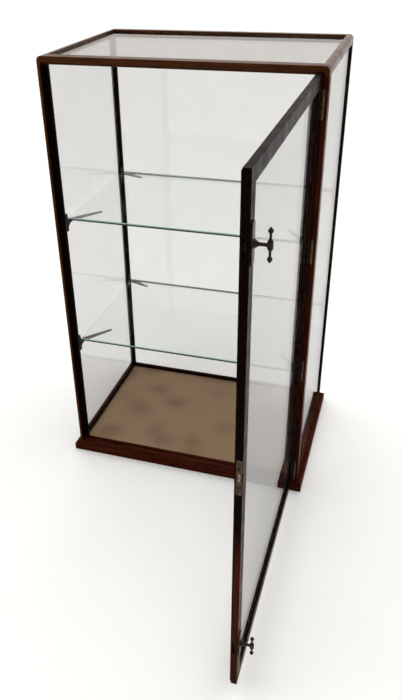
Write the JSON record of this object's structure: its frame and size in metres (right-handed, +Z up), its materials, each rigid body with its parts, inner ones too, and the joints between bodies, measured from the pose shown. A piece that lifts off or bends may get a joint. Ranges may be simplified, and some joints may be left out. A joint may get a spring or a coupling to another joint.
{
  "type": "glass display showcase",
  "caption": "Counter-top display case with a slender hardwood frame, glass on every side and on top, glass shelves on cast brackets, and a side-hung glazed door with turn latches and a lock.",
  "frame": {"origin": "centre of the frame's plan on the underside of the base", "axes": "+X to the case's right side, +Y to its back, +Z up; the door's side faces -Y"},
  "size_m": [0.5695, 0.9092, 0.93],
  "materials": {
    "mahogany": "french polished, worn at the arrises",
    "glass": "clear drawn sheet glass",
    "shelf_glass": "clear, green at the edges",
    "suede": "short brushed nap, blotched",
    "cast_metal": "dark cast and painted",
    "aged_brass": "dull, darkened in the recesses",
    "dark_bronze": "dark bronze patina",
    "steel": "worn"
  },
  "bodies": {
    "case": {"back_glass": "glass", "back_glazing_beads": "mahogany", "back_left_post": "mahogany", "back_right_post": "mahogany", "base_board": "mahogany", "base_moulding_back": "mahogany", "base_moulding_front": "mahogany", "base_moulding_left": "mahogany", "base_moulding_right": "mahogany", "bottom_rail_back": "mahogany", "bottom_rail_front": "mahogany", "bottom_rail_left": "mahogany", "bottom_rail_right": "mahogany", "bracket_screws": "cast_metal", "floor_lining": "suede", "front_left_post": "mahogany", "front_right_post": "mahogany", "hinge_1_post_leaf": "aged_brass", "hinge_2_post_leaf": "aged_brass", "hinge_3_post_leaf": "aged_brass", "hinge_4_post_leaf": "aged_brass", "hinge_pins": "aged_brass", "left_glass": "glass", "left_glazing_beads": "mahogany", "lower_shelf_brackets": "cast_metal", "lower_shelf_glass": "shelf_glass", "post_hinge_screws": "aged_brass", "right_glass": "glass", "right_glazing_beads": "mahogany", "top_glass": "glass", "top_glazing_beads": "mahogany", "top_rail_back": "mahogany", "top_rail_front": "mahogany", "top_rail_left": "mahogany", "top_rail_right": "mahogany", "upper_shelf_brackets": "cast_metal", "upper_shelf_glass": "shelf_glass"},
    "door": {"backplate_screws": "dark_bronze", "door_bottom_rail": "mahogany", "door_glass": "glass", "door_glazing_beads": "mahogany", "door_hinge_screws": "aged_brass", "door_hinge_stile": "mahogany", "door_lock_stile": "mahogany", "door_top_rail": "mahogany", "hinge_1_door_leaf": "aged_brass", "hinge_2_door_leaf": "aged_brass", "hinge_3_door_leaf": "aged_brass", "hinge_4_door_leaf": "aged_brass", "keyhole_escutcheon": "aged_brass", "lock_case": "steel", "lock_faceplate": "aged_brass", "lock_screws": "aged_brass", "lower_turn_backplate": "dark_bronze", "upper_turn_backplate": "dark_bronze"},
    "upper_latch": {"upper_turn_handle": "dark_bronze", "upper_turn_tongue": "dark_bronze"},
    "lower_latch": {"lower_turn_handle": "dark_bronze", "lower_turn_tongue": "dark_bronze"},
    "bolt": {"lock_bolt": "steel"}
  },
  "joints": [
    {"name": "door_hinge", "type": "hinge", "parent": "case", "child": "door", "pos_m": [0.2645, -0.1859, 0.47], "axis": [0, 0, 1], "range_deg": [-90, 90]},
    {"name": "upper_latch_turn", "type": "hinge", "parent": "door", "child": "upper_latch", "pos_m": [0.2611, -0.7047, 0.8287], "axis": [-1, 0, 0], "range_deg": [0, 90]},
    {"name": "lower_latch_turn", "type": "hinge", "parent": "door", "child": "lower_latch", "pos_m": [0.2611, -0.7047, 0.1188], "axis": [-1, 0, 0], "range_deg": [0, 90]},
    {"name": "lock_bolt_slide", "type": "slide", "parent": "door", "child": "bolt", "axis": [0, -1, 0], "range_m": [0, 0.0045]}
  ]
}
